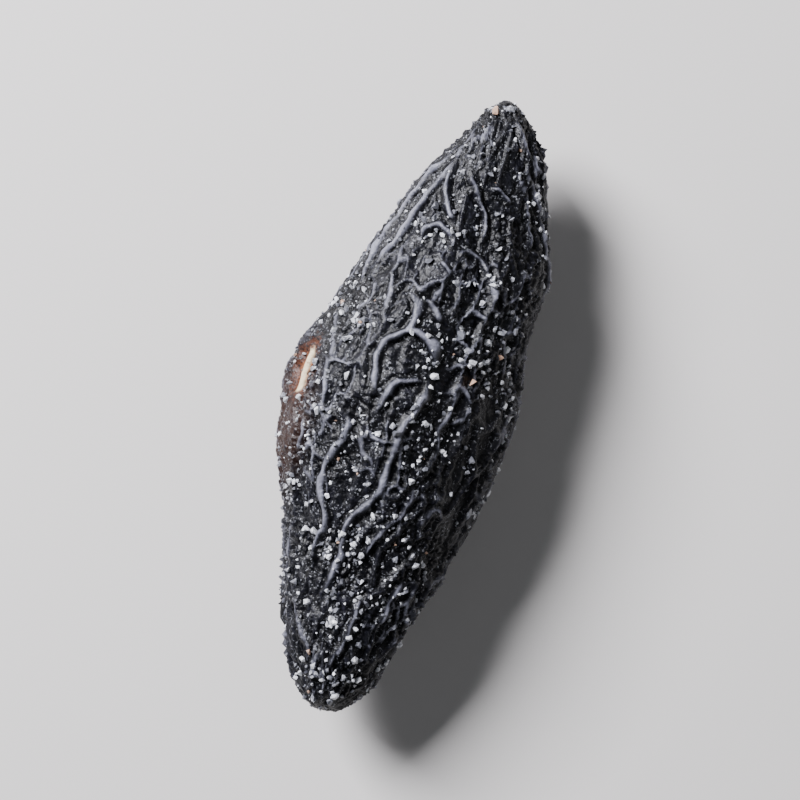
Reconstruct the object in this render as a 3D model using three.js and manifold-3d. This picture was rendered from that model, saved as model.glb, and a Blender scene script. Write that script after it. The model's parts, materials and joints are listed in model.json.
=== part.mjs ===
// A tonka bean: the dried, wrinkled seed of the tonka tree, one solid piece lying on its belly.
// Units are millimetres and +Z is up. +X runs along the bean to its narrow tip, and +Y to its fuller flank.
// The origin lies on the surface below the bean, under the middle of its outline.

import * as THREE from "three";
import { mergeVertices } from "three/addons/utils/BufferGeometryUtils.js";
import Module from "manifold-3d";

// The body under the wrinkles. A profile lists [share of the length from the narrow tip, value], and a smooth
// curve joins its points. The sine of the polar angle multiplies the two half widths and so rounds both ends.
const LENGTH = 38;
const HALF_BREADTH = [
  [0, 4], [0.13, 4.75], [0.25, 5.35], [0.36, 5.6], [0.48, 6.5], [0.6, 6.3], [0.72, 5.4], [0.86, 4.35],
  [1, 4.65],
];
const HALF_DEPTH = [[0, 3.6], [0.15, 4.4], [0.35, 4.9], [0.52, 5.1], [0.7, 4.7], [0.86, 4.1], [1, 4.2]];
const SIDEWAYS_BOW = [
  [0, -1.3], [0.09, -1.75], [0.17, -1.45], [0.25, -1.28], [0.39, -0.5], [0.48, 0], [0.6, -0.05],
  [0.72, -0.35], [0.86, -0.43], [1, -0.7],
];
const MID_HEIGHT = [[0, 5.4], [0.25, 5], [0.5, 4.85], [0.75, 4.95], [1, 5.2]];

// The surface is a block's, blown up to the bean: a grid along the sides and one on each end, with no poles.
const COLUMNS_PER_SIDE = 18;
const RINGS = 60;
const TOP_CROWDING = 0.35; // how much closer the columns stand on top than on the flanks
const CREST_REACH = 0.15; // how close to a fold's crest a corner of the sides' grid is drawn on to it
const CAP_COSINE = 0.86; // of the polar angle where an end's grid meets the sides' grid

// Every ridge has a narrow crest on a broad foot. A fold's foot is wide on its high side and narrow on the
// other.
const CREST_ROUNDING = 0.15;
const FLANK_LENGTH = 0.36;
const FOOT_SHARE = 0.3;
const FOOT_NARROW = 0.35;
const FOOT_EVEN = 0.5;
const FOOT_WIDE = 1;

// The net of ridges: walls between cells that are long along the bean, warped so that no wall is straight.
const NET_RADIUS = 5.9;
const TIP_CROWDING = 0.6;
const CELL_ACROSS = 2;
const CELL_ALONG = 5.6;
const NET_WARP = 0.7;
const NET_HEIGHT = 0.55;
const NET_FADE = [0.2, 0.62]; // the roundness between which it fades in from the tips
const NET_PATCH = 2.4; // how far it runs on with the same strength
const NET_STRENGTH = { middle: 0.7, change: 0.7, least: 0.15 };
const TOP_CALM = 0.3; // the share of its height that it loses on the side that faces up
const TOP_EDGE = [0.1, 0.6]; // the cosines of the turn between which that side sets in
const LEAST_SLANT = 0.1; // the least squared sine of the angle between a wall and the skin

// Broad swellings and hollows under the net.
const SWELL_HEIGHT = 0.5;
const SWELL_LENGTH = 6.5;

// The folds that stand out of the net, each a route of [distance along X, degrees round from the top to +Y].
const STRONG_FOLD_HEIGHT = 0.75;
const LIGHT_FOLD_HEIGHT = 0.55;
const FOLD_STEPS = 6; // straight steps from one point of a route to the next
const FOLD_FADE = 0.2; // the share of its length over which a fold dies away at each end
const FOLD_END = 0.2; // the share of its height that is left at its very end
const STRONG_FOLDS = [
  [[15, 57], [13.6, 64], [12.2, 69], [10, 73], [7.7, 69], [5, 58]],
  [[14.6, 45], [12.2, 51], [10.6, 55], [8.8, 54], [6.6, 60]],
  [[15.4, -30], [14.2, -48], [13.1, -63], [11.3, -71], [9.2, -79], [7.5, -83]],
  [[-0.3, 13], [0.7, 15], [1.9, 18], [2.8, 19], [4, 11], [3.9, 0], [3.2, -9], [2.4, -11]],
  [[6.5, 21], [5.4, 11], [4.4, 11], [4, 11]],
  [[-1.3, 10], [0, 7], [0.9, 4], [1.3, -2], [1.3, -8]],
  [
    [2.5, -2], [1.8, -9], [0.8, -12], [-0.7, -8], [-1.9, -5], [-3.1, -5], [-4.4, -3], [-5.4, -2], [-6.6, 5],
    [-7.9, 15], [-8.8, 16], [-9.7, 15], [-10.9, 20], [-12, 24], [-12.9, 26],
  ],
  [
    [-1.3, 26], [-2.4, 22], [-3.5, 26], [-4.8, 31], [-6, 36], [-6.9, 35], [-8.3, 32], [-9.3, 38],
    [-10.5, 43],
  ],
];
const LIGHT_FOLDS = [
  [[13.9, 43], [12.8, 40], [11.5, 27], [11.2, 19]],
  [[9.2, 35], [10, 36], [10.5, 30], [10.4, 20], [9.8, 10]],
  [[14, 23], [13.2, 14], [12.5, 4], [11.4, -8], [10.3, -10]],
  [[13.6, 0], [13.1, -19], [12.9, -27]],
  [[15.2, -16], [14.2, -32], [13.3, -44], [11.8, -51], [10.3, -52]],
  [[16.2, -68], [14.7, -87], [12.8, -87], [11.4, -84]],
  [[6.2, 45], [5.5, 44], [4.1, 46]],
  [[7, 40], [5.9, 33], [4.6, 27]],
  [[6.1, 13], [5.6, 5], [5, -6]],
  [[-1.8, 32], [-2.7, 36], [-3.5, 39]],
  [[-2.4, 52], [-3.8, 52], [-4.5, 56]],
  [[4.3, 71], [2.7, 52], [1.2, 43]],
  [[5.4, -48], [4.2, -53], [2.8, -58]],
  [[2.9, -70], [1.2, -87], [-0.7, -87], [-3.9, -87], [-5.4, -87]],
  [[-8.8, 72], [-9.8, 73], [-11.1, 73]],
  [[-12.3, 60], [-13.7, 55], [-14.9, 39], [-15.7, 29]],
  [[-7, -33], [-6.1, -34], [-5.6, -41], [-6.2, -50]],
  [[2.2, -29], [0.6, -28], [-1.1, -26], [-2.5, -27], [-4.2, -21]],
  [[9, 6], [9.5, -2], [9.2, -14], [8.3, -24]],
  [[-4.5, -19], [-6.2, -19], [-7.9, -9], [-9.5, -1]],
  [[17.8, -11], [16.9, -28], [16, -35]],
  [[16.7, 52], [15.5, 51], [14.4, 44]],
  [[-11.6, -11], [-13.3, -10], [-15.1, -6], [-16.4, 5]],
  [[-9.9, -38], [-11.7, -38], [-13.2, -36]],
];

// Long folds on the half that faces down, spaced evenly round it and wandering a little.
const BELLY_FOLDS = { count: 9, from: 100, to: 260, points: 7, reach: 15, wander: 10, shift: 5 };

// A valley along the bean, beside the crown that the strong folds lie on.
const VALLEY_DEPTH = 0.4;
const VALLEY_WIDTH = 0.85;
const VALLEY = [
  [13, 9], [11.5, -2], [10, -9], [8, -15], [5.5, -19], [3, -21], [0.5, -24], [-2, -28], [-4, -33],
];

// The scar where the seed hung: a torn rim round a shallow hollow, on the fuller flank.
const SCAR = {
  x: 0.2, turn: 66, halfLength: 1.9, halfWidth: 1.1, rimHeight: 0.24, rimWidth: 0.3, hollow: 0.2,
  hollowEdge: [0.6, 1], reliefEdge: [0.8, 1.5],
};

// The largest crystals on the skin, each [distance along X, degrees round from the top, half its width].
// Others lie evenly over the whole bean, one golden angle apart, but for the spot that the bean rests on.
const LARGE_CRYSTALS = [
  [17.9, 29, 0.24], [16, 18, 0.17], [14, 5, 0.2], [10.3, -21, 0.16], [8.5, -18, 0.17], [7.6, -10, 0.17],
  [7.7, -51, 0.15], [4.7, -18, 0.24], [3.1, -29, 0.2], [2.2, -33, 0.22], [2.4, -65, 0.15], [-2.3, 6, 0.18],
  [-2.2, -49, 0.2], [-1.6, -46, 0.15], [-3.5, -22, 0.17], [-7.8, -25, 0.17], [-9, -25, 0.17],
  [-12, -18, 0.18], [-12.4, -7, 0.15], [-12.8, 75, 0.17], [-13.8, 49, 0.17], [-14.3, -12, 0.22],
  [-16.1, 36, 0.18],
];
const SPREAD_CRYSTALS = { count: 30, smallest: 0.14, largest: 0.22 };
const GOLDEN_ANGLE = 137.508;
const LOWEST_CRYSTAL = 0.7; // above the surface that the bean rests on
const CRYSTAL_ROOT = 2.5; // how deep a crystal goes into the skin, in half widths
const CRYSTAL_LIFT = 0.25; // how far its widest place stands off the skin, in half widths
const RAY_START = 3; // how far above the smooth body a crystal's place on the skin is looked for

// The skin flattens out where it touches the surface below.
const CALM_HEIGHT = 1.1;

const SKIN_COLOUR = 0x1b1a1d;

// Every random choice has a seed of its own.
const SEEDS = { swell: 3, cells: 5, warp: 11, strength: 21, belly: 31, crystals: 83 };
const NOISE_GAIN = 1.6; // brings smooth noise to about -1 to 1

const radians = THREE.MathUtils.degToRad;
const smoothstep = THREE.MathUtils.smoothstep;

// The value of a profile at a share of the length: a cubic through its points.
function profileAt(profile, share) {
  const last = profile.length - 1;
  let i = 0;
  while (i < last - 1 && share > profile[i + 1][0]) i++;
  const slopeAt = (k) => {
    const [a, b] = [profile[Math.max(k - 1, 0)], profile[Math.min(k + 1, last)]];
    return (b[1] - a[1]) / (b[0] - a[0]);
  };
  const [[start, from], [end, to]] = [profile[i], profile[i + 1]];
  const span = end - start;
  const s = (share - start) / span;
  const leave = slopeAt(i) * span * s * (1 - s) ** 2;
  const arrive = slopeAt(i + 1) * span * s * s * (s - 1);
  return from * (1 + 2 * s) * (1 - s) ** 2 + to * s * s * (3 - 2 * s) + leave + arrive;
}

// Three repeatable random numbers from 0 to 1 for a lattice point.
function latticeRandom(i, j, k, seed) {
  let bits = Math.imul(i, 0x8da6b343) ^ Math.imul(j, 0xd8163841) ^ Math.imul(k, 0xcb1ab31f);
  bits ^= Math.imul(seed, 0x9e3779b1);
  bits = Math.imul(bits ^ (bits >>> 15), 0x2c1b3c6d);
  bits = Math.imul(bits ^ (bits >>> 12), 0x297a2d39);
  bits ^= bits >>> 15;
  return [bits & 1023, (bits >>> 10) & 1023, (bits >>> 20) & 1023].map((part) => part / 1023);
}

// Smooth noise from about -1 to 1, with a slope drawn at each lattice point.
function smoothNoise([x, y, z], seed) {
  const cell = [Math.floor(x), Math.floor(y), Math.floor(z)];
  const inside = [x - cell[0], y - cell[1], z - cell[2]];
  const ease = inside.map((s) => s * s * s * (s * (6 * s - 15) + 10));
  let sum = 0;
  for (let corner = 0; corner < 8; corner++) {
    const step = [corner & 1, (corner >> 1) & 1, (corner >> 2) & 1];
    const slope = latticeRandom(cell[0] + step[0], cell[1] + step[1], cell[2] + step[2], seed);
    let weight = 1;
    let rise = 0;
    for (let a = 0; a < 3; a++) {
      weight *= step[a] ? ease[a] : 1 - ease[a];
      rise += (2 * slope[a] - 1) * (inside[a] - step[a]);
    }
    sum += weight * rise;
  }
  return NOISE_GAIN * sum;
}

// The distance from a point of the skin, measured in cells, to the nearest wall between random cells. It is
// taken along the skin, which faces outward, so that a wall that meets the skin at a slant grows no wider.
function distanceToWall([x, y, z], outward, seed) {
  const home = [Math.floor(x), Math.floor(y), Math.floor(z)];
  let nearest = { distance: Infinity };
  let second = nearest;
  for (let n = 0; n < 27; n++) {
    const step = [(n % 3) - 1, (Math.floor(n / 3) % 3) - 1, Math.floor(n / 9) - 1];
    const at = step.map((part, a) => home[a] + part);
    const jitter = latticeRandom(at[0], at[1], at[2], seed);
    const centre = at.map((c, a) => c + jitter[a]);
    const found = { centre, distance: Math.hypot(x - centre[0], y - centre[1], z - centre[2]) };
    if (found.distance < nearest.distance) [nearest, second] = [found, nearest];
    else if (found.distance < second.distance) second = found;
  }
  const between = nearest.centre.map((c, a) => c - second.centre[a]);
  const apart = Math.hypot(...between);
  const straight = (second.distance ** 2 - nearest.distance ** 2) / (2 * apart);
  const facing = between.reduce((sum, c, a) => sum + (c * outward[a]) / apart, 0);
  return straight / Math.sqrt(Math.max(1 - facing ** 2, LEAST_SLANT));
}

// A ridge's height, from 1 on its crest, at a distance from the crest.
function ridge(distance, footWidth) {
  const crest = Math.exp((CREST_ROUNDING - Math.hypot(distance, CREST_ROUNDING)) / FLANK_LENGTH);
  return (1 - FOOT_SHARE) * crest + FOOT_SHARE * Math.exp(-((distance / footWidth) ** 2));
}

// The smooth body under the wrinkles: a place, the way out of it, and its roundness and radius there.
function bodyAt(polar, turn) {
  const share = (1 - Math.cos(polar)) / 2;
  const rounding = Math.sin(polar);
  const breadth = profileAt(HALF_BREADTH, share);
  const depth = profileAt(HALF_DEPTH, share);
  const place = new THREE.Vector3(
    (LENGTH / 2) * Math.cos(polar),
    profileAt(SIDEWAYS_BOW, share) + rounding * breadth * Math.sin(turn),
    profileAt(MID_HEIGHT, share) + rounding * depth * Math.cos(turn),
  );
  const outward = new THREE.Vector3(
    Math.cos(polar) / (LENGTH / 2),
    (rounding * Math.sin(turn)) / breadth,
    (rounding * Math.cos(turn)) / depth,
  ).normalize();
  return { place, outward, rounding, radius: (rounding * (breadth + depth)) / 2 };
}

// The height of the net, whose space goes round the bean in millimetres and is squeezed along it.
function netHeight(x, rounding, turn) {
  const reach = NET_RADIUS * rounding ** TIP_CROWDING;
  const outward = [0, Math.cos(turn), Math.sin(turn)];
  const point = [(x * CELL_ACROSS) / CELL_ALONG, reach * outward[1], reach * outward[2]];
  const inCells = point.map((c) => c / CELL_ACROSS);
  const warped = inCells.map((c, a) => c + (NET_WARP / CELL_ACROSS) * smoothNoise(inCells, SEEDS.warp + a));
  const toWall = CELL_ACROSS * distanceToWall(warped, outward, SEEDS.cells);
  const change = NET_STRENGTH.change * smoothNoise(point.map((c) => c / NET_PATCH), SEEDS.strength);
  const strength = Math.max(NET_STRENGTH.middle + change, NET_STRENGTH.least);
  const calm = TOP_CALM * smoothstep(Math.cos(turn), ...TOP_EDGE);
  return NET_HEIGHT * strength * smoothstep(rounding, ...NET_FADE) * (1 - calm) * ridge(toWall, FOOT_EVEN);
}

// A fold as short straight steps along a curve through its points.
function foldSteps(route, height) {
  const points = route.map(([x, degrees]) => new THREE.Vector3(x, radians(degrees), 0));
  const curve = new THREE.CatmullRomCurve3(points, false, "catmullrom");
  return { height, steps: curve.getPoints(FOLD_STEPS * (route.length - 1)) };
}

function bellyRoutes() {
  const { count, from, to, points, reach, wander, shift } = BELLY_FOLDS;
  return Array.from({ length: count }, (_, n) => {
    const middle = from + ((to - from) * n) / (count - 1);
    const [start] = latticeRandom(n, 0, 0, SEEDS.belly);
    return Array.from({ length: points }, (_, k) => {
      const x = reach - (2 * reach * k) / (points - 1) + shift * (start - 0.5);
      return [x, middle + wander * (2 * latticeRandom(n, k, 1, SEEDS.belly)[1] - 1)];
    });
  });
}

const folds = [
  ...STRONG_FOLDS.map((route) => foldSteps(route, STRONG_FOLD_HEIGHT)),
  ...LIGHT_FOLDS.map((route) => foldSteps(route, LIGHT_FOLD_HEIGHT)),
  ...bellyRoutes().map((route) => foldSteps(route, LIGHT_FOLD_HEIGHT)),
];

const valley = foldSteps(VALLEY, VALLEY_DEPTH);

// Where a fold passes a point: how far off, its own place there, whether the point is on its high side, and
// how much of its height is left.
function besideFold(steps, x, turn, radius) {
  let nearest = { distance: Infinity };
  for (let i = 1; i < steps.length; i++) {
    const [from, to] = [steps[i - 1], steps[i]];
    const along = x - from.x;
    const across = Math.atan2(Math.sin(turn - from.y), Math.cos(turn - from.y)) * radius;
    const run = to.x - from.x;
    const rise = (to.y - from.y) * radius;
    const s = THREE.MathUtils.clamp((along * run + across * rise) / (run * run + rise * rise), 0, 1);
    const distance = Math.hypot(along - s * run, across - s * rise);
    const share = (i - 1 + s) / (steps.length - 1);
    const crest = { x: from.x + s * run, turn: from.y + s * (to.y - from.y) };
    if (distance < nearest.distance) nearest = { distance, share, crest, side: run * across - rise * along };
  }
  const high = nearest.side * (steps.at(-1).x - steps[0].x) > 0;
  const fade = Math.min(1, FOLD_END + Math.min(nearest.share, 1 - nearest.share) / FOLD_FADE);
  return { ...nearest, high, fade };
}

// The height of the folds at a point of the skin: the highest of them, each fading out at its ends.
function foldHeight(x, turn, radius) {
  const heights = folds.map(({ height, steps }) => {
    const { distance, high, fade } = besideFold(steps, x, turn, radius);
    return height * fade * ridge(distance, high ? FOOT_WIDE : FOOT_NARROW);
  });
  return Math.max(...heights);
}

function valleyDepth(x, turn, radius) {
  const { distance, fade } = besideFold(valley.steps, x, turn, radius);
  return valley.height * fade * Math.exp(-((distance / VALLEY_WIDTH) ** 2));
}

// The rim and the hollow of the scar, and how much of the other relief it leaves.
function scarAt(x, turn, radius) {
  const along = (x - SCAR.x) / SCAR.halfLength;
  const across = ((turn - radians(SCAR.turn)) * radius) / SCAR.halfWidth;
  const out = Math.hypot(along, across);
  const rim = Math.exp(-((((out - 1) * SCAR.halfWidth) / SCAR.rimWidth) ** 2));
  const inside = 1 - smoothstep(out, ...SCAR.hollowEdge);
  return { height: SCAR.rimHeight * rim - SCAR.hollow * inside, keep: smoothstep(out, ...SCAR.reliefEdge) };
}

// The finished skin at a polar angle and a turn from the top.
function skinAt(polar, turn) {
  const { place, outward, rounding, radius } = bodyAt(polar, turn);
  const swell = SWELL_HEIGHT * smoothNoise(place.toArray().map((c) => c / SWELL_LENGTH), SEEDS.swell);
  const fold = foldHeight(place.x, turn, radius);
  const net = netHeight(place.x, rounding, turn) * (1 - fold / STRONG_FOLD_HEIGHT);
  const scar = scarAt(place.x, turn, radius);
  const relief = swell - valleyDepth(place.x, turn, radius) + (net + fold) * scar.keep + scar.height;
  const calm = smoothstep(place.z, 0, CALM_HEIGHT);
  place.addScaledVector(outward, relief * calm);
  place.z = Math.max(place.z, 0);
  return place;
}

// The polar angle and the turn for a point of the block's surface, with every side from -1 to 1.
function anglesOf(a, b, c) {
  const quarter = Math.PI / 4;
  const ring = Math.max(Math.abs(b), Math.abs(c));
  let turn = 0;
  if (ring > 0 && Math.abs(b) === ring) turn = Math.sign(b) * (2 * quarter - (quarter * c) / ring);
  else if (ring > 0) turn = c > 0 ? quarter * (b / c) : Math.PI + quarter * (b / c);
  turn -= TOP_CROWDING * Math.sin(turn);
  if (Math.abs(a) < 1 - 1e-6) return [Math.acos(a * CAP_COSINE), turn];
  const fromTip = Math.asin(ring * Math.sqrt(1 - CAP_COSINE ** 2));
  return [a > 0 ? fromTip : Math.PI - fromTip, turn];
}

// Angles drawn on to the crest of a fold that passes close by, so that edges of the surface follow the crest.
function drawnToCrest(polar, turn) {
  if (Math.abs(Math.cos(polar)) > CAP_COSINE) return [polar, turn];
  const { place, radius } = bodyAt(polar, turn);
  for (const { steps } of folds) {
    const { distance, share, crest } = besideFold(steps, place.x, turn, radius);
    const passes = share > 0 && share < 1 && distance < CREST_REACH;
    if (passes) return [Math.acos((2 * crest.x) / LENGTH), crest.turn];
  }
  return [polar, turn];
}

// The wrinkled skin as one closed surface of triangles that share their corners.
function makeSkin() {
  const block = new THREE.BoxGeometry(2, 2, 2, RINGS, COLUMNS_PER_SIDE, COLUMNS_PER_SIDE);
  block.deleteAttribute("normal");
  block.deleteAttribute("uv");
  const geometry = mergeVertices(block, 1e-4);
  const positions = geometry.getAttribute("position");
  for (let i = 0; i < positions.count; i++) {
    const angles = anglesOf(positions.getX(i), positions.getY(i), positions.getZ(i));
    positions.setXYZ(i, ...skinAt(...drawnToCrest(...angles)).toArray());
  }
  return geometry;
}

// The crystals that lie evenly over the bean.
function spreadCrystals() {
  const { count, smallest, largest } = SPREAD_CRYSTALS;
  return Array.from({ length: count }, (_, n) => {
    const x = (LENGTH / 2) * (1 - (2 * n + 1) / count);
    return [x, n * GOLDEN_ANGLE, smallest + (largest - smallest) * latticeRandom(n, 0, 0, SEEDS.crystals)[0]];
  });
}

// A crystal: an octahedron turned at random, with its lower corner drawn out to a root that goes into the
// skin.
function makeCrystal(place, outward, size, spin) {
  const geometry = new THREE.OctahedronGeometry(size);
  geometry.deleteAttribute("normal");
  geometry.deleteAttribute("uv");
  const merged = mergeVertices(geometry);
  const positions = merged.getAttribute("position");
  for (let i = 0; i < positions.count; i++) {
    if (positions.getY(i) < -size / 2) positions.setY(i, -CRYSTAL_ROOT * size);
  }
  const upright = new THREE.Quaternion().setFromUnitVectors(new THREE.Vector3(0, 1, 0), outward);
  merged.rotateY(spin);
  merged.applyQuaternion(upright);
  return merged.translate(...place.clone().addScaledVector(outward, CRYSTAL_LIFT * size).toArray());
}

// All crystals, each standing where a line towards the bean's middle line meets the skin.
function makeCrystals(skin) {
  const target = new THREE.Mesh(skin);
  const crystals = [];
  for (const [n, [x, degrees, size]] of [...LARGE_CRYSTALS, ...spreadCrystals()].entries()) {
    const { place, outward } = bodyAt(Math.acos((2 * x) / LENGTH), radians(degrees));
    const above = place.clone().addScaledVector(outward, RAY_START);
    const [hit] = new THREE.Raycaster(above, outward.clone().negate()).intersectObject(target);
    const spin = latticeRandom(n, 1, 0, SEEDS.crystals)[1] * Math.PI;
    if (hit.point.z > LOWEST_CRYSTAL) crystals.push(makeCrystal(hit.point, outward, size, spin));
  }
  return crystals;
}

const wasm = await Module();
wasm.setup();

function toSolid(geometry) {
  const vertProperties = new Float32Array(geometry.getAttribute("position").array);
  const triVerts = new Uint32Array(geometry.getIndex().array);
  return new wasm.Manifold(new wasm.Mesh({ numProp: 3, vertProperties, triVerts }));
}

function toGeometry(solid) {
  const { vertProperties, triVerts } = solid.getMesh();
  const geometry = new THREE.BufferGeometry();
  geometry.setAttribute("position", new THREE.BufferAttribute(vertProperties, 3));
  geometry.setIndex(new THREE.BufferAttribute(triVerts, 1));
  geometry.computeVertexNormals();
  return geometry;
}

function makeBean() {
  const skin = makeSkin();
  const solid = makeCrystals(skin).reduce((body, crystal) => body.add(toSolid(crystal)), toSolid(skin));
  const material = new THREE.MeshStandardMaterial({ color: SKIN_COLOUR, roughness: 0.45, metalness: 0 });
  const bean = new THREE.Mesh(toGeometry(solid), material);
  bean.name = "tonka_bean";
  return bean;
}

const tonka = new THREE.Group();
tonka.add(makeBean());
export default tonka;
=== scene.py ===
# %% [markdown]
# # A tonka bean
#
# A tonka bean is the dried seed of a tall South American tree. It is black, oily and deeply wrinkled, and
# as it dries, its own fragrance grows out of the skin as frost: thousands of tiny white crystals. This
# lesson builds one bean in three layers: the wrinkled skin, the crystals on it, and the finish of both.
#
# The frame brings the plain solid bean at its real size. The finer skin made here takes its place.

# %% Load the frame
import json
import math

import bmesh
import bpy
import numpy as np
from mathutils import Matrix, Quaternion, Vector

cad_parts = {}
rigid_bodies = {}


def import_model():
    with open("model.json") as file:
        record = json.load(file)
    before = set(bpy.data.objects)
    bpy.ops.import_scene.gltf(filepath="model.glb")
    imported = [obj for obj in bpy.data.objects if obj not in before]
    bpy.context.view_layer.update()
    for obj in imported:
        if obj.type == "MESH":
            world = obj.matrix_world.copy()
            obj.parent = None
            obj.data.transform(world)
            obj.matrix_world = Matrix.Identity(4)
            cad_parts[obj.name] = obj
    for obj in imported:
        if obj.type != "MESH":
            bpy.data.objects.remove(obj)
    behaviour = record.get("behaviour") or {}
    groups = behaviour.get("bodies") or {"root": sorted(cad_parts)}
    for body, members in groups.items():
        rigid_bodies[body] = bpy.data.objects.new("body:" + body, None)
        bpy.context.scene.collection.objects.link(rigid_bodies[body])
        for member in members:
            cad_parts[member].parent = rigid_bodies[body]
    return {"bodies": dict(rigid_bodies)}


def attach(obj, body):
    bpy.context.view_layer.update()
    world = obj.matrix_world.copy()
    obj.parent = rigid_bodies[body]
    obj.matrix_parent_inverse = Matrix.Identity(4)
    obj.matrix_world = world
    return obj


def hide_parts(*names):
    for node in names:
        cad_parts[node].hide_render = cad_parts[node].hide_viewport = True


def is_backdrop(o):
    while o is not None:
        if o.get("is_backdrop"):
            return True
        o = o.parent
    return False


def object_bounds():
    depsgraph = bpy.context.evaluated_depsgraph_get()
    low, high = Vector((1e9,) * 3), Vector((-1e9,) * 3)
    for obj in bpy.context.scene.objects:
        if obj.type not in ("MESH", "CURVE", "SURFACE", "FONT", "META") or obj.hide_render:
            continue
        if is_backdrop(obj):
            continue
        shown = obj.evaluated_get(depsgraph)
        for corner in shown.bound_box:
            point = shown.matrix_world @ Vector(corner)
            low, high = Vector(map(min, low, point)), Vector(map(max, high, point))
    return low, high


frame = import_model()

MM = 0.001
cad_low, cad_high = (list(corner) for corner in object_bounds())
BODY = next(iter(frame["bodies"]))
NODE = "tonka_bean"
solid_low, solid_high = ([round(v / MM, 2) for v in corner] for corner in (cad_low, cad_high))
print("solid bean from", solid_low, "to", solid_high, "mm")

# %% [markdown]
# ## The smooth body
#
# Under its wrinkles a bean is a long egg, flatter than it is wide, that bows a little sideways. Its outline
# could be traced, but a few measured widths along its length say the same and can be changed one by one. A
# smooth curve joins them, and the sine of the polar angle rounds the two ends. All lengths in this lesson
# are millimetres until the mesh is made.

# %% The body's profiles
LENGTH = 38
HALF_BREADTH = [
    (0, 4), (0.13, 4.75), (0.25, 5.35), (0.36, 5.6), (0.48, 6.5), (0.6, 6.3), (0.72, 5.4), (0.86, 4.35),
    (1, 4.65),
]
HALF_DEPTH = [(0, 3.6), (0.15, 4.4), (0.35, 4.9), (0.52, 5.1), (0.7, 4.7), (0.86, 4.1), (1, 4.2)]
SIDEWAYS_BOW = [
    (0, -1.3), (0.09, -1.75), (0.17, -1.45), (0.25, -1.28), (0.39, -0.5), (0.48, 0), (0.6, -0.05),
    (0.72, -0.35), (0.86, -0.43), (1, -0.7),
]
MID_HEIGHT = [(0, 5.4), (0.25, 5), (0.5, 4.85), (0.75, 4.95), (1, 5.2)]


def profile_at(profile, share):
    """The value of a profile at each share of the length from the narrow tip: a cubic through its points."""
    shares = np.array([point[0] for point in profile], float)
    values = np.array([point[1] for point in profile], float)
    before = np.maximum(np.arange(len(shares)) - 1, 0)
    after = np.minimum(np.arange(len(shares)) + 1, len(shares) - 1)
    slopes = (values[after] - values[before]) / (shares[after] - shares[before])
    i = np.clip(np.searchsorted(shares, share, side="left") - 1, 0, len(shares) - 2)
    span = shares[i + 1] - shares[i]
    s = (share - shares[i]) / span
    leave = slopes[i] * span * s * (1 - s) ** 2
    arrive = slopes[i + 1] * span * s * s * (s - 1)
    return values[i] * (1 + 2 * s) * (1 - s) ** 2 + values[i + 1] * s * s * (3 - 2 * s) + leave + arrive


def body_at(polar, turn):
    """The smooth body's places, the ways out of it, and its roundness and radius, for arrays of angles."""
    share = (1 - np.cos(polar)) / 2
    rounding = np.sin(polar)
    breadth = profile_at(HALF_BREADTH, share)
    depth = profile_at(HALF_DEPTH, share)
    place = np.stack([
        LENGTH / 2 * np.cos(polar),
        profile_at(SIDEWAYS_BOW, share) + rounding * breadth * np.sin(turn),
        profile_at(MID_HEIGHT, share) + rounding * depth * np.cos(turn),
    ], axis=1)
    outward = np.stack([
        np.cos(polar) / (LENGTH / 2),
        rounding * np.sin(turn) / breadth,
        rounding * np.cos(turn) / depth,
    ], axis=1)
    outward /= np.linalg.norm(outward, axis=1, keepdims=True)
    return place, outward, rounding, rounding * (breadth + depth) / 2


print("widest at", round(max(2 * half for _, half in HALF_BREADTH), 1), "mm of", LENGTH, "mm length")

# %% [markdown]
# ## Noise and cells
#
# Wrinkles need two kinds of randomness. Smooth noise gives swellings and wandering lines. Random cells give
# the net: the skin shrinks between stiff strands, and the strands are the walls between cells. The noise
# that comes with the program could be used, but a few lines of array code are fast enough for a hundred
# thousand points and give the same numbers as the solid bean, so its ridges and these ridges lie in the
# same places.

# %% Smooth noise
LATTICE_FACTORS = (0x8DA6B343, 0xD8163841, 0xCB1AB31F)
SEED_FACTOR = 0x9E3779B1
ALL_BITS, TEN_BITS = 0xFFFFFFFF, 1023
MIXING_FACTORS = (0x2C1B3C6D, 0x297A2D39)
NOISE_GAIN = 1.6
TEST_POINT = np.array([[0.3, 0.6, 0.9]])


def lattice_random(i, j, k, seed):
    """Three repeatable random numbers from 0 to 1 for each lattice point."""
    bits = np.uint32(seed * SEED_FACTOR & ALL_BITS)
    for part, factor in zip((i, j, k), LATTICE_FACTORS):
        bits = bits ^ np.asarray(part, np.int64).astype(np.uint32) * np.uint32(factor)
    bits = (bits ^ bits >> np.uint32(15)) * np.uint32(MIXING_FACTORS[0])
    bits = (bits ^ bits >> np.uint32(12)) * np.uint32(MIXING_FACTORS[1])
    bits = bits ^ bits >> np.uint32(15)
    parts = [bits >> np.uint32(shift) & np.uint32(TEN_BITS) for shift in (0, 10, 20)]
    return np.stack(parts, axis=-1) / TEN_BITS


def smooth_noise(points, seed):
    """Smooth noise from about -1 to 1, with a slope drawn at each lattice point."""
    cell = np.floor(points).astype(np.int64)
    inside = points - cell
    ease = inside ** 3 * (inside * (6 * inside - 15) + 10)
    total = np.zeros(len(points))
    for corner in range(8):
        step = np.array([corner & 1, corner >> 1 & 1, corner >> 2 & 1])
        slope = lattice_random(*(cell + step).T, seed)
        weight = np.prod(np.where(step == 1, ease, 1 - ease), axis=1)
        total += weight * np.sum((2 * slope - 1) * (inside - step), axis=1)
    return NOISE_GAIN * total


def smooth_step(value, low, high):
    """0 below the low limit, 1 above the high one, and a smooth rise between."""
    s = np.clip((value - low) / (high - low), 0, 1)
    return s * s * (3 - 2 * s)


print("noise at one point:", smooth_noise(TEST_POINT, 3).round(4))

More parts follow.
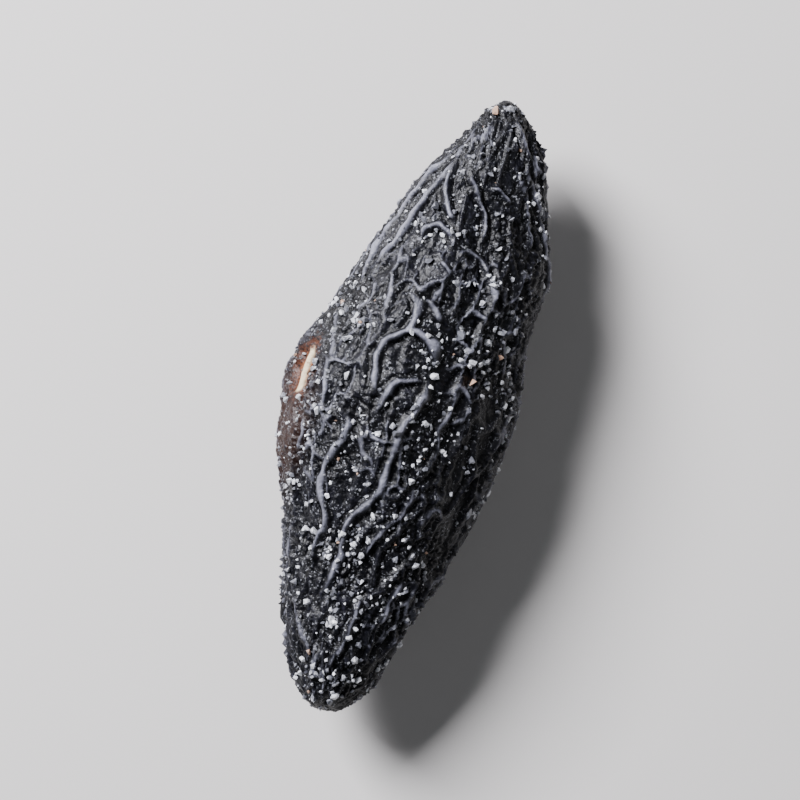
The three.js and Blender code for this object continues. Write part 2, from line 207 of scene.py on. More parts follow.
# %% [markdown]
# The walls between cells come from the two nearest cell centres. A wall can cross the skin at any slant,
# and then its distance through space is shorter than its distance along the skin. The second one is what a
# ridge's width is measured by, so the distance is divided by how upright the wall stands on the skin.

# %% Walls between cells
LEAST_UPRIGHT_SQUARED = 0.1


def distance_to_wall(points, outward, seed):
    """How far the nearest wall between random cells is, measured along a skin with these ways out.

    It also gives a random number for the cell, and how upright the wall is: 1 is square to the skin.
    """
    home = np.floor(points).astype(np.int64)
    nearest = np.full(len(points), np.inf)
    second = np.full(len(points), np.inf)
    nearest_centre = np.zeros((len(points), 3))
    second_centre = np.zeros((len(points), 3))
    number = np.zeros(len(points))
    for n in range(27):
        at = home + np.array([n % 3 - 1, n // 3 % 3 - 1, n // 9 - 1])
        jitter = lattice_random(*at.T, seed)
        centre = at + jitter
        distance = np.linalg.norm(points - centre, axis=1)
        first = distance < nearest
        other = ~first & (distance < second)
        second = np.where(first, nearest, np.where(other, distance, second))
        second_centre = np.where(other[:, None], centre, second_centre)
        second_centre = np.where(first[:, None], nearest_centre, second_centre)
        nearest = np.where(first, distance, nearest)
        nearest_centre = np.where(first[:, None], centre, nearest_centre)
        number = np.where(first, jitter[:, 0], number)
    between = nearest_centre - second_centre
    apart = np.linalg.norm(between, axis=1)
    facing = np.sum(between * outward, axis=1) / apart
    straight = (second ** 2 - nearest ** 2) / (2 * apart)
    upright = np.sqrt(np.maximum(1 - facing ** 2, LEAST_UPRIGHT_SQUARED))
    return straight / upright, number, upright


test_wall = distance_to_wall(TEST_POINT, np.array([[0, 0, 1]]), 5)
print("wall near it: distance, number and uprightness", [float(v[0].round(3)) for v in test_wall])

# %% [markdown]
# ## A ridge's section
#
# Every ridge on a dried bean has a thin rounded crest and hollow flanks, like cloth drawn up between two
# fingers, and a groove runs along its foot. Each ridge could be a strip of its own, but its foot would
# never melt into the skin. So one formula makes the section from the distance to the crest, and it serves
# the net and the folds. The crest's line and the groove are also measured by themselves, because they are
# coloured: the crest's line pale, partly as wear and partly as a painted highlight, and the groove with
# painted shade.

# %% Ridge section
CREST_ROUNDING, FLANK_LENGTH = 0.08, 0.14
FOOT_SHARE, FOOT_NARROW, FOOT_WIDE = 0.45, 0.25, 1.0
LINE_WIDTH = 0.19
GROOVE_DISTANCE, GROOVE_WIDTH, GROOVE_DEPTH = 0.34, 0.14, 0.17


def ridge(distance, foot_width):
    """A ridge's height, from 1 on its crest, at a distance from the crest: a sharp crest on a broad foot."""
    crest = np.exp((CREST_ROUNDING - np.hypot(distance, CREST_ROUNDING)) / FLANK_LENGTH)
    return (1 - FOOT_SHARE) * crest + FOOT_SHARE * np.exp(-(distance / foot_width) ** 2)


def crest_line(distance):
    """How near the very crest a point lies, from 0 to 1."""
    return np.exp(-(distance / LINE_WIDTH) ** 2)


def groove(distance):
    """How deep in the groove at a ridge's foot a point lies, from 0 to 1."""
    return np.exp(-((distance - GROOVE_DISTANCE) / GROOVE_WIDTH) ** 2)


test_distances = np.array([0, 0.2, 0.5])
print("ridge height", test_distances, "mm from the crest:", ridge(test_distances, FOOT_WIDE).round(2))

# %% [markdown]
# ## The net of ridges
#
# The net covers the whole bean. Its ridges are the walls between cells that are nearly three times longer
# than they are wide, because a bean shrinks more across than along. A wall that happens to lie almost along
# the skin would draw a broad ring on it, so such a wall gets no pale crest line, which is partly wear and
# partly a painted highlight. The net fades towards the tips and is calmer on top, where the folds that
# follow do most.

# %% Net
NET_RADIUS = 5.9
TIP_CROWDING = 0.6
CELL_ACROSS, CELL_ALONG = 2, 5.6
NET_HEIGHT, NET_FOOT = 0.36, 0.5
NET_SEED, NET_WARP, NET_WARP_SEED = 5, 0.7, 11
NET_STRENGTH, NET_UNEVEN, NET_WEAKEST = 0.7, 0.7, 0.15
NET_PATCH, NET_PATCH_SEED = 2.4, 21
NET_FADE = (0.2, 0.62)
NET_LINE_NARROWING = 1.3
LINE_UPRIGHT = (0.4, 0.8)
TOP_CALM, TOP_LINE_CALM = 0.3, 0.65
TOP_EDGE = (0.1, 0.6)


def net_space(x, rounding, turn, stretch):
    """Points in the space of a net, which is squeezed along the bean, and the way out of the skin there."""
    outward = np.stack([0 * x, np.cos(turn), np.sin(turn)], axis=1)
    points = outward * (NET_RADIUS * rounding ** TIP_CROWDING)[:, None]
    points[:, 0] = x / stretch
    return points, outward


def warped(points, size, amount, seed):
    """Points moved by smooth noise, so that no wall is straight."""
    return points + amount * np.stack([smooth_noise(points / size, seed + a) for a in range(3)], axis=1)


def net_height(x, rounding, turn):
    """The net's height from 0 to 1, how near each point is to a crest, and how deep it lies in a groove."""
    points, outward = net_space(x, rounding, turn, CELL_ALONG / CELL_ACROSS)
    cells = warped(points, CELL_ACROSS, NET_WARP, NET_WARP_SEED) / CELL_ACROSS
    to_wall, _, upright = distance_to_wall(cells, outward, NET_SEED)
    distance = CELL_ACROSS * to_wall
    strength = NET_STRENGTH + NET_UNEVEN * smooth_noise(points / NET_PATCH, NET_PATCH_SEED)
    strength = np.maximum(strength, NET_WEAKEST) * smooth_step(rounding, *NET_FADE)
    top = smooth_step(np.cos(turn), *TOP_EDGE)
    line = strength * crest_line(NET_LINE_NARROWING * distance) * smooth_step(upright, *LINE_UPRIGHT)
    line *= 1 - TOP_LINE_CALM * top
    strength = strength * (1 - TOP_CALM * top)
    return strength * ridge(distance, NET_FOOT), line, strength * groove(distance)


print("net of cells", CELL_ACROSS, "by", CELL_ALONG, "mm")

# %% [markdown]
# ## The fine net and the pebbles
#
# Between its ridges the skin isn't plain. A finer net has small cells, each a little higher or lower than
# the next, and over it all lies a pebbled grain with narrow pits between the pebbles. A bump texture could
# draw both, but it would vanish at the bean's outline, so they are real relief. Both are strong in some
# patches and weak in others.

# %% Fine net
FINE_ACROSS, FINE_ALONG = 0.95, 2
FINE_HEIGHT, FINE_STEP = 0.36, 0.6
FINE_SEED, FINE_WARP, FINE_WARP_SEED = 43, 0.35, 41
FINE_STRENGTH, FINE_UNEVEN, FINE_WEAKEST = 0.55, 1.1, 0.05
FINE_PATCH, FINE_PATCH_SEED = 3, 47
FINE_LINE, FINE_LINE_NARROWING = 0.95, 1.9


def fine_net_height(x, rounding, turn):
    """The fine net's height in millimetres, and how near each point is to one of its crests."""
    points, outward = net_space(x, rounding, turn, FINE_ALONG / FINE_ACROSS)
    cells = warped(points, FINE_ACROSS, FINE_WARP, FINE_WARP_SEED) / FINE_ACROSS
    to_wall, number, upright = distance_to_wall(cells, outward, FINE_SEED)
    distance = FINE_ACROSS * to_wall
    strength = FINE_STRENGTH + FINE_UNEVEN * smooth_noise(points / FINE_PATCH, FINE_PATCH_SEED)
    strength = np.clip(strength, FINE_WEAKEST, 1)
    line = FINE_LINE * strength * crest_line(FINE_LINE_NARROWING * distance)
    line *= smooth_step(upright, *LINE_UPRIGHT)
    return FINE_HEIGHT * strength * (np.exp(-distance / FLANK_LENGTH) + FINE_STEP * number), line


print("fine net of cells", FINE_ACROSS, "by", FINE_ALONG, "mm")

# %% Pebbles
PEBBLE_SIZE, PEBBLE_HEIGHT, PEBBLE_LOWEST = 0.48, 0.18, 0.3
PEBBLE_SEED, PEBBLE_WARP, PEBBLE_WARP_LENGTH, PEBBLE_WARP_SEED = 53, 0.25, 1.1, 51
DOME_STEEPNESS = 4.5
COARSE_LEAST, COARSE_EDGE = 0.25, (-0.3, 0.3)
COARSE_PATCH, COARSE_SEED = 3.4, 57
PIT_WIDTH, PIT_DEPTH = 0.09, 0.05


def pebble_height(place, outward):
    """The height of low domes with pits between them, the pits' strength and how coarse the skin is."""
    cells = warped(place, PEBBLE_WARP_LENGTH, PEBBLE_WARP, PEBBLE_WARP_SEED) / PEBBLE_SIZE
    to_wall, number, _ = distance_to_wall(cells, outward, PEBBLE_SEED)
    patch = smooth_step(smooth_noise(place / COARSE_PATCH, COARSE_SEED), *COARSE_EDGE)
    coarse = COARSE_LEAST + (1 - COARSE_LEAST) * patch
    dome = 1 - np.exp(-DOME_STEEPNESS * to_wall)
    pits = coarse * np.exp(-(PEBBLE_SIZE * to_wall / PIT_WIDTH) ** 2)
    return PEBBLE_HEIGHT * coarse * dome * (PEBBLE_LOWEST + number) - PIT_DEPTH * pits, pits, coarse


print("pebbles of", PEBBLE_SIZE, "mm")

# %% [markdown]
# ## The folds
#
# Some ridges stand out of the net and make this bean this one: an arch on its back, a long spine that runs
# to the blunt end, a pair of parallel folds on the shoulder, and the keel on the far edge. Each is a short
# route of points, given as a distance along the bean and an angle in degrees round it from the top. They
# are listed one by one, because no noise would draw these very lines. A shallow valley on the back has such a
# route too. The half that faces down has folds by a rule: long ones, evenly spaced, that wander a little.

# %% Listed routes
VALLEY = [(13, 9), (11.5, -2), (10, -9), (8, -15), (5.5, -19), (3, -21), (0.5, -24), (-2, -28), (-4, -33)]
STRONG_FOLDS = [
    [(15, 57), (13.6, 64), (12.2, 69), (10, 73), (7.7, 69), (5, 58)],
    [(14.6, 45), (12.2, 51), (10.6, 55), (8.8, 54), (6.6, 60)],
    [(15.4, -30), (14.2, -48), (13.1, -63), (11.3, -71), (9.2, -79), (7.5, -83)],
    [(-0.3, 13), (0.7, 15), (1.9, 18), (2.8, 19), (4, 11), (3.9, 0), (3.2, -9), (2.4, -11)],
    [(6.5, 21), (5.4, 11), (4.4, 11), (4, 11)],
    [(-1.3, 10), (0, 7), (0.9, 4), (1.3, -2), (1.3, -8)],
    [
        (2.5, -2), (1.8, -9), (0.8, -12), (-0.7, -8), (-1.9, -5), (-3.1, -5), (-4.4, -3), (-5.4, -2),
        (-6.6, 5), (-7.9, 15), (-8.8, 16), (-9.7, 15), (-10.9, 20), (-12, 24), (-12.9, 26),
    ],
    [
        (-1.3, 26), (-2.4, 22), (-3.5, 26), (-4.8, 31), (-6, 36), (-6.9, 35), (-8.3, 32), (-9.3, 38),
        (-10.5, 43),
    ],
]
LIGHT_FOLDS = [
    [(13.9, 43), (12.8, 40), (11.5, 27), (11.2, 19)],
    [(9.2, 35), (10, 36), (10.5, 30), (10.4, 20), (9.8, 10)],
    [(14, 23), (13.2, 14), (12.5, 4), (11.4, -8), (10.3, -10)],
    [(13.6, 0), (13.1, -19), (12.9, -27)],
    [(15.2, -16), (14.2, -32), (13.3, -44), (11.8, -51), (10.3, -52)],
    [(16.2, -68), (14.7, -87), (12.8, -87), (11.4, -84)],
    [(6.2, 45), (5.5, 44), (4.1, 46)],
    [(7, 40), (5.9, 33), (4.6, 27)],
    [(6.1, 13), (5.6, 5), (5, -6)],
    [(-1.8, 32), (-2.7, 36), (-3.5, 39)],
    [(-2.4, 52), (-3.8, 52), (-4.5, 56)],
    [(4.3, 71), (2.7, 52), (1.2, 43)],
    [(5.4, -48), (4.2, -53), (2.8, -58)],
    [(2.9, -70), (1.2, -87), (-0.7, -87), (-3.9, -87), (-5.4, -87)],
    [(-8.8, 72), (-9.8, 73), (-11.1, 73)],
    [(-12.3, 60), (-13.7, 55), (-14.9, 39), (-15.7, 29)],
    [(-7, -33), (-6.1, -34), (-5.6, -41), (-6.2, -50)],
    [(2.2, -29), (0.6, -28), (-1.1, -26), (-2.5, -27), (-4.2, -21)],
    [(9, 6), (9.5, -2), (9.2, -14), (8.3, -24)],
    [(-4.5, -19), (-6.2, -19), (-7.9, -9), (-9.5, -1)],
    [(17.8, -11), (16.9, -28), (16, -35)],
    [(16.7, 52), (15.5, 51), (14.4, 44)],
    [(-11.6, -11), (-13.3, -10), (-15.1, -6), (-16.4, 5)],
    [(-9.9, -38), (-11.7, -38), (-13.2, -36)],
]

print(len(STRONG_FOLDS), "strong folds and", len(LIGHT_FOLDS), "light ones")

# %% Routes on the underside
BELLY_COUNT, BELLY_FROM, BELLY_TO = 9, 100, 260
BELLY_POINTS, BELLY_REACH, BELLY_WANDER, BELLY_SHIFT = 7, 15, 10, 5
BELLY_SEED = 31


def belly_routes():
    """Long folds on the half that faces down, spaced evenly round it and wandering a little."""
    routes = []
    for n in range(BELLY_COUNT):
        middle = BELLY_FROM + (BELLY_TO - BELLY_FROM) * n / (BELLY_COUNT - 1)
        start = lattice_random([n], [0], [0], BELLY_SEED)[0, 0]
        route = []
        for k in range(BELLY_POINTS):
            x = BELLY_REACH - 2 * BELLY_REACH * k / (BELLY_POINTS - 1) + BELLY_SHIFT * (start - 0.5)
            sway = lattice_random([n], [k], [1], BELLY_SEED)[0, 1]
            route.append((x, middle + BELLY_WANDER * 2 * (sway - 0.5)))
        routes.append(route)
    return routes


BELLY_FOLDS = belly_routes()
print(len(BELLY_FOLDS), "folds below")

# %% [markdown]
# A curve runs through each route's points, and every point of the skin looks for the nearest stretch of it.
# A fold fades at both ends, has a wide foot on one side and a narrow one on the other, and is worn higher
# and lower on its way.

# %% Curves through the routes
FOLD_STEPS = 6
FOLD_REACH = 2.5
FOLD_END_RISE, FOLD_END_HEIGHT = 5, 0.2
TINY = 1e-9


def fold_line(route):
    """Places along a curve through a route, as rows of x, angle in radians and share of the route."""
    points = np.array([(x, math.radians(degrees)) for x, degrees in route])
    padded = np.vstack([2 * points[0] - points[1], points, 2 * points[-1] - points[-2]])
    count = FOLD_STEPS * (len(route) - 1)
    share = np.arange(count + 1) / count
    i = np.minimum((share * (len(route) - 1)).astype(int), len(route) - 2)
    s = (share * (len(route) - 1) - i)[:, None]
    before, start, end, after = (padded[i + n] for n in range(4))
    leave, arrive = (end - before) / 2, (after - start) / 2
    line = (2 * start - 2 * end + leave + arrive) * s ** 3
    line += (-3 * start + 3 * end - 2 * leave - arrive) * s ** 2 + leave * s + start
    return np.column_stack([line, share])


def near_fold(route, x, turn, radius):
    """The points near a fold, how far off and on which side they lie, and its share of height there."""
    line = fold_line(route)
    first, last = line[:, 0].min() - FOLD_REACH, line[:, 0].max() + FOLD_REACH
    near = np.flatnonzero((x > first) & (x < last))
    closest = np.full(len(near), np.inf)
    place, side = np.zeros(len(near)), np.zeros(len(near))
    for (x0, turn0, share0), (x1, turn1, share1) in zip(line[:-1], line[1:]):
        across = (turn[near] - turn0 + math.pi) % (2 * math.pi) - math.pi
        run, rise = x1 - x0, (turn1 - turn0) * radius[near]
        offset_x, offset_y = x[near] - x0, across * radius[near]
        s = np.clip((offset_x * run + offset_y * rise) / (run * run + rise * rise + TINY), 0, 1)
        distance = np.hypot(offset_x - s * run, offset_y - s * rise)
        place = np.where(distance < closest, share0 + s * (share1 - share0), place)
        side = np.where(distance < closest, run * offset_y - rise * offset_x, side)
        closest = np.minimum(distance, closest)
    side = side * (line[-1, 0] - line[0, 0]) > 0
    return near, closest, side, np.minimum(1, FOLD_END_RISE * np.minimum(place, 1 - place) + FOLD_END_HEIGHT)


print("the first strong fold is a curve of", len(fold_line(STRONG_FOLDS[0])), "points")

# %% Relief of the folds
STRONG_FOLD_HEIGHT, LIGHT_FOLD_HEIGHT = 0.5, 0.34
WEAR, WEAR_LENGTH, WEAR_ROUND, WEAR_SEED = 0.6, 1.1, 1.7, 27
VALLEY_DEPTH, VALLEY_WIDTH = 0.4, 0.85


def fold_height(x, turn, radius):
    """The height of the folds at each point, how near it is to a crest, and how deep it lies in a groove."""
    highest, brightest, deepest = (np.zeros(len(x)) for _ in range(3))
    folds = [(route, STRONG_FOLD_HEIGHT) for route in STRONG_FOLDS]
    folds += [(route, LIGHT_FOLD_HEIGHT) for route in LIGHT_FOLDS + BELLY_FOLDS]
    wear = 1 + WEAR * smooth_noise(np.stack([x / WEAR_LENGTH, WEAR_ROUND * turn, 0 * x], axis=1), WEAR_SEED)
    for route, height in folds:
        near, distance, side, fade = near_fold(route, x, turn, radius)
        share = math.sqrt(height / STRONG_FOLD_HEIGHT) * fade
        foot = np.where(side, FOOT_WIDE, FOOT_NARROW)
        highest[near] = np.maximum(highest[near], height * fade * ridge(distance, foot))
        bright = share * crest_line(distance * STRONG_FOLD_HEIGHT / height)
        brightest[near] = np.maximum(brightest[near], bright)
        deepest[near] = np.maximum(deepest[near], share * groove(distance))
    return highest * wear, brightest * wear, deepest * (1 - np.minimum(brightest, 1))


def valley_depth(x, turn, radius):
    """How deep the valley on the back is at each point."""
    near, distance, _, fade = near_fold(VALLEY, x, turn, radius)
    depth = np.zeros(len(x))
    depth[near] = VALLEY_DEPTH * fade * np.exp(-(distance / VALLEY_WIDTH) ** 2)
    return depth


print("folds rise", STRONG_FOLD_HEIGHT, "and", LIGHT_FOLD_HEIGHT, "mm, the valley sinks", VALLEY_DEPTH, "mm")

# %% [markdown]
# ## The scar
#
# A seed hangs in its pod by a short stalk, and where it broke off it leaves a scar: a torn rim round a
# shallow hollow, a pale lip along the hollow and a crack beside the lip. On this bean it lies on the fuller
# flank. It could be a piece set into the skin, but a real one has no edge, so it is shaped in the same
# formula.

# %% Scar
SCAR_X, SCAR_TURN = 0.2, math.radians(66)
SCAR_HALF_LENGTH, SCAR_HALF_WIDTH = 1.9, 1.1
SCAR_RIM_HEIGHT, SCAR_RIM_WIDTH = 0.22, 0.26
SCAR_HOLLOW, SCAR_HOLLOW_EDGE = 0.16, 0.6
SCAR_LIP, SCAR_LIP_WIDTH, SCAR_LIP_HEIGHT = -0.02, 0.3, 0.2
SCAR_CRACK, SCAR_CRACK_WIDTH, SCAR_CRACK_DEPTH = -0.46, 0.15, 0.3
SCAR_END = 0.5


def scar_place(x, turn, radius):
    """Where a point lies in the scar, along and across it: 1 is on its rim."""
    return (x - SCAR_X) / SCAR_HALF_LENGTH, (turn - SCAR_TURN) * radius / SCAR_HALF_WIDTH


def scar_height(along, across, out):
    """The scar's relief: a rim, a hollow inside it, a lip along the hollow and a crack beside the lip."""
    rim = np.exp(-((out - 1) * SCAR_HALF_WIDTH / SCAR_RIM_WIDTH) ** 2)
    length = smooth_step(1 - np.abs(along), 0, SCAR_END)
    lip = np.exp(-((across - SCAR_LIP) / SCAR_LIP_WIDTH) ** 2) * length
    crack = np.exp(-((across - SCAR_CRACK) / SCAR_CRACK_WIDTH) ** 2) * length
    hollow = 1 - smooth_step(out, SCAR_HOLLOW_EDGE, 1)
    height = SCAR_RIM_HEIGHT * rim - SCAR_HOLLOW * hollow + SCAR_LIP_HEIGHT * lip - SCAR_CRACK_DEPTH * crack
    return height, lip, crack


print("scar of", 2 * SCAR_HALF_LENGTH, "by", 2 * SCAR_HALF_WIDTH, "mm")

# %% [markdown]
# ## The whole relief
#
# Now the layers are laid over each other. Where a fold rises, the net and the fine net give way to it, and
# round the scar all of them end. Modifiers could do this one after another, but one function can also keep
# what it knows of each point: how raised it is, how near a crest, how deep in a groove. The colours and the
# crystals need that. Close to the floor the relief fades, because the bean lies on a small flat spot.

# %% Finished relief
SWELL_HEIGHT, SWELL_LENGTH, SWELL_SEED = 0.5, 6.5, 3
FOLD_SWAY, SWAY_LENGTH, SWAY_SEEDS, SWAY_RADIUS = 0.22, 0.9, (33, 35), 0.5
TIP_SHARE, TIP_EDGE = 0.3, (0.05, 0.4)
GRAIN_HEIGHT, GRAIN_DENSITY, GRAIN_SEED = 0.03, (2.2, 4.5, 4.5), 61
RAGGEDNESS, RAGGED_LENGTH, RAGGED_SEED = 0.25, 0.8, 67
SCAR_CLEARING = (0.8, 1.5)
NET_LINE_SHARE = 0.8
BROWN_X, BROWN_LENGTH, BROWN_Y, BROWN_WIDTH = -3.5, 5, 6.2, 1.6
CALM_HEIGHT = 1.1


def skin_at(polar, turn):
    """The finished skin in millimetres, and the measures of each point that colours and crystals need."""
    place, outward, rounding, radius = body_at(polar, turn)
    x, y = place[:, 0], place[:, 1]
    swell = SWELL_HEIGHT * smooth_noise(place / SWELL_LENGTH, SWELL_SEED) - valley_depth(x, turn, radius)
    along_sway, round_sway = (FOLD_SWAY * smooth_noise(place / SWAY_LENGTH, seed) for seed in SWAY_SEEDS)
    swayed_turn = turn + round_sway / (radius + SWAY_RADIUS)
    fold, fold_line_near, fold_groove = fold_height(x + along_sway, swayed_turn, radius)
    plain = 1 - np.minimum(fold / STRONG_FOLD_HEIGHT, 1)
    net, net_line_near, net_groove = net_height(x, rounding, turn)
    net *= NET_HEIGHT
    near_tip = TIP_SHARE + (1 - TIP_SHARE) * smooth_step(rounding, *TIP_EDGE)
    fine, fine_line_near = fine_net_height(x, rounding, turn)
    fine *= plain * near_tip
    pebbles, pits, coarse = pebble_height(place, outward)
    pebbles *= near_tip
    grain = GRAIN_HEIGHT * smooth_noise(place * GRAIN_DENSITY, GRAIN_SEED)
    along, across = scar_place(x, turn, radius)
    ragged = 1 + RAGGEDNESS * smooth_noise(place / RAGGED_LENGTH, RAGGED_SEED)
    out = np.hypot(along, across) * ragged
    scar, lip, crack = scar_height(along, across, out)
    keep = smooth_step(out, *SCAR_CLEARING)
    raised = (net * plain + fold + fine + pebbles) * keep
    # Crest lines, later painted pale: partly as wear and partly as a painted highlight.
    crest = np.maximum(NET_LINE_SHARE * net_line_near, fine_line_near * near_tip) * plain
    crest = np.maximum(fold_line_near, crest) * keep
    grooved = np.maximum(net_groove * plain, fold_groove) * keep
    # The grooves and the pits are marked for painted shade.
    dark = np.maximum(grooved, pits * plain * keep)
    brown = np.exp(-((x - BROWN_X) / BROWN_LENGTH) ** 2 - ((y - BROWN_Y) / BROWN_WIDTH) ** 2)
    relief = (net * plain + fold + fine + pebbles * plain - GROOVE_DEPTH * grooved) * keep
    calm = smooth_step(place[:, 2], 0, CALM_HEIGHT)
    place = place + outward * ((swell + relief + grain + scar) * calm)[:, None]
    place[:, 2] = np.maximum(place[:, 2], 0)
    measures = {"raised": raised, "crest": crest, "dark": dark, "coarse": coarse, "brown": brown}
    return place, measures | {"scar_out": out, "scar_lip": lip, "scar_crack": crack}


print("relief of", len(LIGHT_FOLDS) + len(STRONG_FOLDS) + len(BELLY_FOLDS), "folds, two nets and the scar")

# %% [markdown]
# ## The skin's mesh
#
# A ball of rings would pinch at its two poles, and they would show as stars at the bean's tips. So the mesh
# starts as a cube cut into a fine grid. Each grid point is turned into a pair of angles: four sides of the
# cube wrap round the bean, and two cap its ends. Then the formula above says where each point lies. The
# grid is finer along the bean than round it, because the body is three times longer than it is wide.

# %% Build the skin
CUTS_ACROSS = 69
CUTS_ALONG = 3
CAP_COSINE = 0.72
TOLERANCE = 1e-4


def cube_angles(cube):
    """The polar angle and the turn from the top for points on a cube with sides from -1 to 1."""
    a, b, c = cube.T
    ring = np.maximum(np.abs(b), np.abs(c))
    safe = np.maximum(ring, TINY)
    quarter = math.pi / 4
    sideways = np.sign(b) * (2 * quarter - quarter * c / safe)
    upright = np.where(c > 0, quarter * b / safe, math.pi - quarter * b / safe)
    turn = np.where(np.abs(b) >= np.abs(c), sideways, upright)
    turn = np.where(ring > 0, turn, 0)
    from_tip = np.arcsin(np.minimum(ring, 1) * math.sqrt(1 - CAP_COSINE ** 2))
    capped = np.where(a > 0, from_tip, math.pi - from_tip)
    return np.where(np.abs(a) < 1 - TOLERANCE, np.arccos(a * CAP_COSINE), capped), turn


def make_skin():
    """The skin: a cube's fine grid wrapped into the bean, with the measures of each point."""
    bm = bmesh.new()
    bmesh.ops.create_cube(bm, size=2)
    bmesh.ops.subdivide_edges(bm, edges=bm.edges[:], cuts=CUTS_ACROSS, use_grid_fill=True)
    lengthwise = [edge for edge in bm.edges if abs(edge.verts[0].co.x - edge.verts[1].co.x) > TOLERANCE]
    bmesh.ops.subdivide_edges(bm, edges=lengthwise, cuts=CUTS_ALONG, use_grid_fill=True)
    mesh = bpy.data.meshes.new("bean_skin")
    bm.to_mesh(mesh)
    bm.free()
    cube = np.zeros(len(mesh.vertices) * 3)
    mesh.vertices.foreach_get("co", cube)
    place, measures = skin_at(*cube_angles(cube.reshape(-1, 3)))
    mesh.vertices.foreach_set("co", (place * MM).ravel())
    for name, values in measures.items():
        mesh.attributes.new(name, "FLOAT", "POINT").data.foreach_set("value", values)
    mesh.shade_smooth()
    mesh.update()
    skin = bpy.data.objects.new("bean_skin", mesh)
    bpy.context.collection.objects.link(skin)
    return skin


skin = make_skin()
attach(skin, BODY)
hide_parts(NODE)
print("skin:", len(skin.data.vertices), "points,", 2 * len(skin.data.polygons), "triangles")

# %% [markdown]
# ## The crystals
#
# The frost on a tonka bean is made of small blunt crystals. They sit in clusters, more in the hollows than
# on the crests, and a few stand alone. Painting them as white dots would leave the bean's outline smooth,
# so each is a small rough grain of twenty faces, sunk by about a third into the skin. All are one mesh,
# because thousands of objects would be slow and would say no more.
#
# The largest are listed, as distance along the bean, angle round it, size and whether it is stained.
# Thirty more follow, one golden angle apart, so that no side is without a large one. Those too near the
# floor are left out, so that the bean still rests on its flat spot.

# %% Large crystals
LARGE_CRYSTALS = [
    (17.9, 29, 0.32, 1), (16.0, 18, 0.2, 0), (14.0, 5, 0.25, 0), (10.3, -21, 0.16, 0), (8.5, -18, 0.17, 0),
    (7.6, -10, 0.17, 0), (7.7, -51, 0.15, 0), (4.7, -18, 0.28, 0), (3.1, -29, 0.2, 0), (2.2, -33, 0.28, 1),
    (2.4, -65, 0.15, 0), (-2.3, 6, 0.18, 0), (-2.2, -49, 0.2, 0), (-1.6, -46, 0.15, 0), (-3.5, -22, 0.17, 0),
    (-7.8, -25, 0.17, 0), (-9, -25, 0.17, 0), (-12, -18, 0.18, 0), (-12.4, -7, 0.15, 0), (-12.8, 75, 0.17, 0),
    (-13.8, 49, 0.17, 0), (-14.3, -12, 0.22, 0), (-16.1, 36, 0.18, 0),
]
SPREAD_COUNT, SPREAD_SMALLEST, SPREAD_LARGEST, SPREAD_SEED = 30, 0.14, 0.22, 83
GOLDEN_ANGLE = 137.508
LOWEST_LARGE = 0.7
RELIEF_MIDDLE = 0.3


def spread_crystals():
    """More large crystals, one golden angle apart, so that they lie evenly over the whole bean."""
    grains = []
    for n in range(SPREAD_COUNT):
        x = LENGTH / 2 * (1 - (2 * n + 1) / SPREAD_COUNT)
        extra = (SPREAD_LARGEST - SPREAD_SMALLEST) * lattice_random([n], [0], [0], SPREAD_SEED)[0, 0]
        grains.append((x, n * GOLDEN_ANGLE, SPREAD_SMALLEST + extra, 0))
    return grains


def large_grains(middles, normals):
    """The large crystals, each on the face nearest to its place: place, way out, size and stain."""
    grains = []
    for x, degrees, size, stain in LARGE_CRYSTALS + spread_crystals():
        polar = np.array([math.acos(2 * x / LENGTH)])
        place, outward, _, _ = body_at(polar, np.array([math.radians(degrees)]))
        site = np.argmin(np.linalg.norm(middles - place[0] - RELIEF_MIDDLE * outward[0], axis=1))
        if middles[site, 2] > LOWEST_LARGE:
            grains.append((middles[site], normals[site], size, stain))
    return grains


print(len(LARGE_CRYSTALS), "crystals by hand and", SPREAD_COUNT, "spread over the bean")

# %% [markdown]
# A seeded rule scatters the small ones. It draws faces of the skin by their area and keeps a part of them:
# most in clusters, in hollows, on coarse skin and towards the blunt end, few on crests, hardly any on the
# scar and none where the bean meets the floor. A scatter in the node editor could do the same, but here the
# skin's own measures are at hand.

# %% Where small crystals grow
CRYSTAL_TRIES = 10000
CRYSTAL_MEDIAN, CRYSTAL_SPREAD, CRYSTAL_LARGEST = 0.1, 0.4, 0.23
CLUSTER_LENGTH, CLUSTER_SEED = 3.2, 71
TUFT_SHARE, TUFT_LENGTH, TUFT_SEED = 0.6, 1.1, 73
FROST_BASE, FROST_CLUSTERED, FROST_COARSE, FROST_LEAN = 0.06, 0.95, 0.3, 0.15
LEAN_EDGE = (-8, 8)
HOLLOW_EDGE = (0.1, 0.4)
CREST_CHANCE, LEAST_CHANCE = 0.4, 0.04
SCAR_BARE, SCAR_BARE_EDGE = 0.85, (0.7, 1.2)
LOWEST_SMALL = 0.3
TAN_SHARE = 0.02


def read_faces(mesh):
    """The middles in millimetres, the normals, the areas and three measures of a mesh's faces."""
    count = len(mesh.polygons)
    middles, normals, areas = np.zeros(count * 3), np.zeros(count * 3), np.zeros(count)
    mesh.polygons.foreach_get("center", middles)
    mesh.polygons.foreach_get("normal", normals)
    mesh.polygons.foreach_get("area", areas)
    corners = np.zeros(len(mesh.loops), int)
    mesh.loops.foreach_get("vertex_index", corners)
    firsts = np.zeros(count, int)
    mesh.polygons.foreach_get("loop_start", firsts)
    measures = []
    for name in ("raised", "coarse", "scar_out"):
        values = np.zeros(len(mesh.vertices))
        mesh.attributes[name].data.foreach_get("value", values)
        measures.append(values[corners[firsts]])
    return middles.reshape(-1, 3) / MM, normals.reshape(-1, 3), areas, *measures


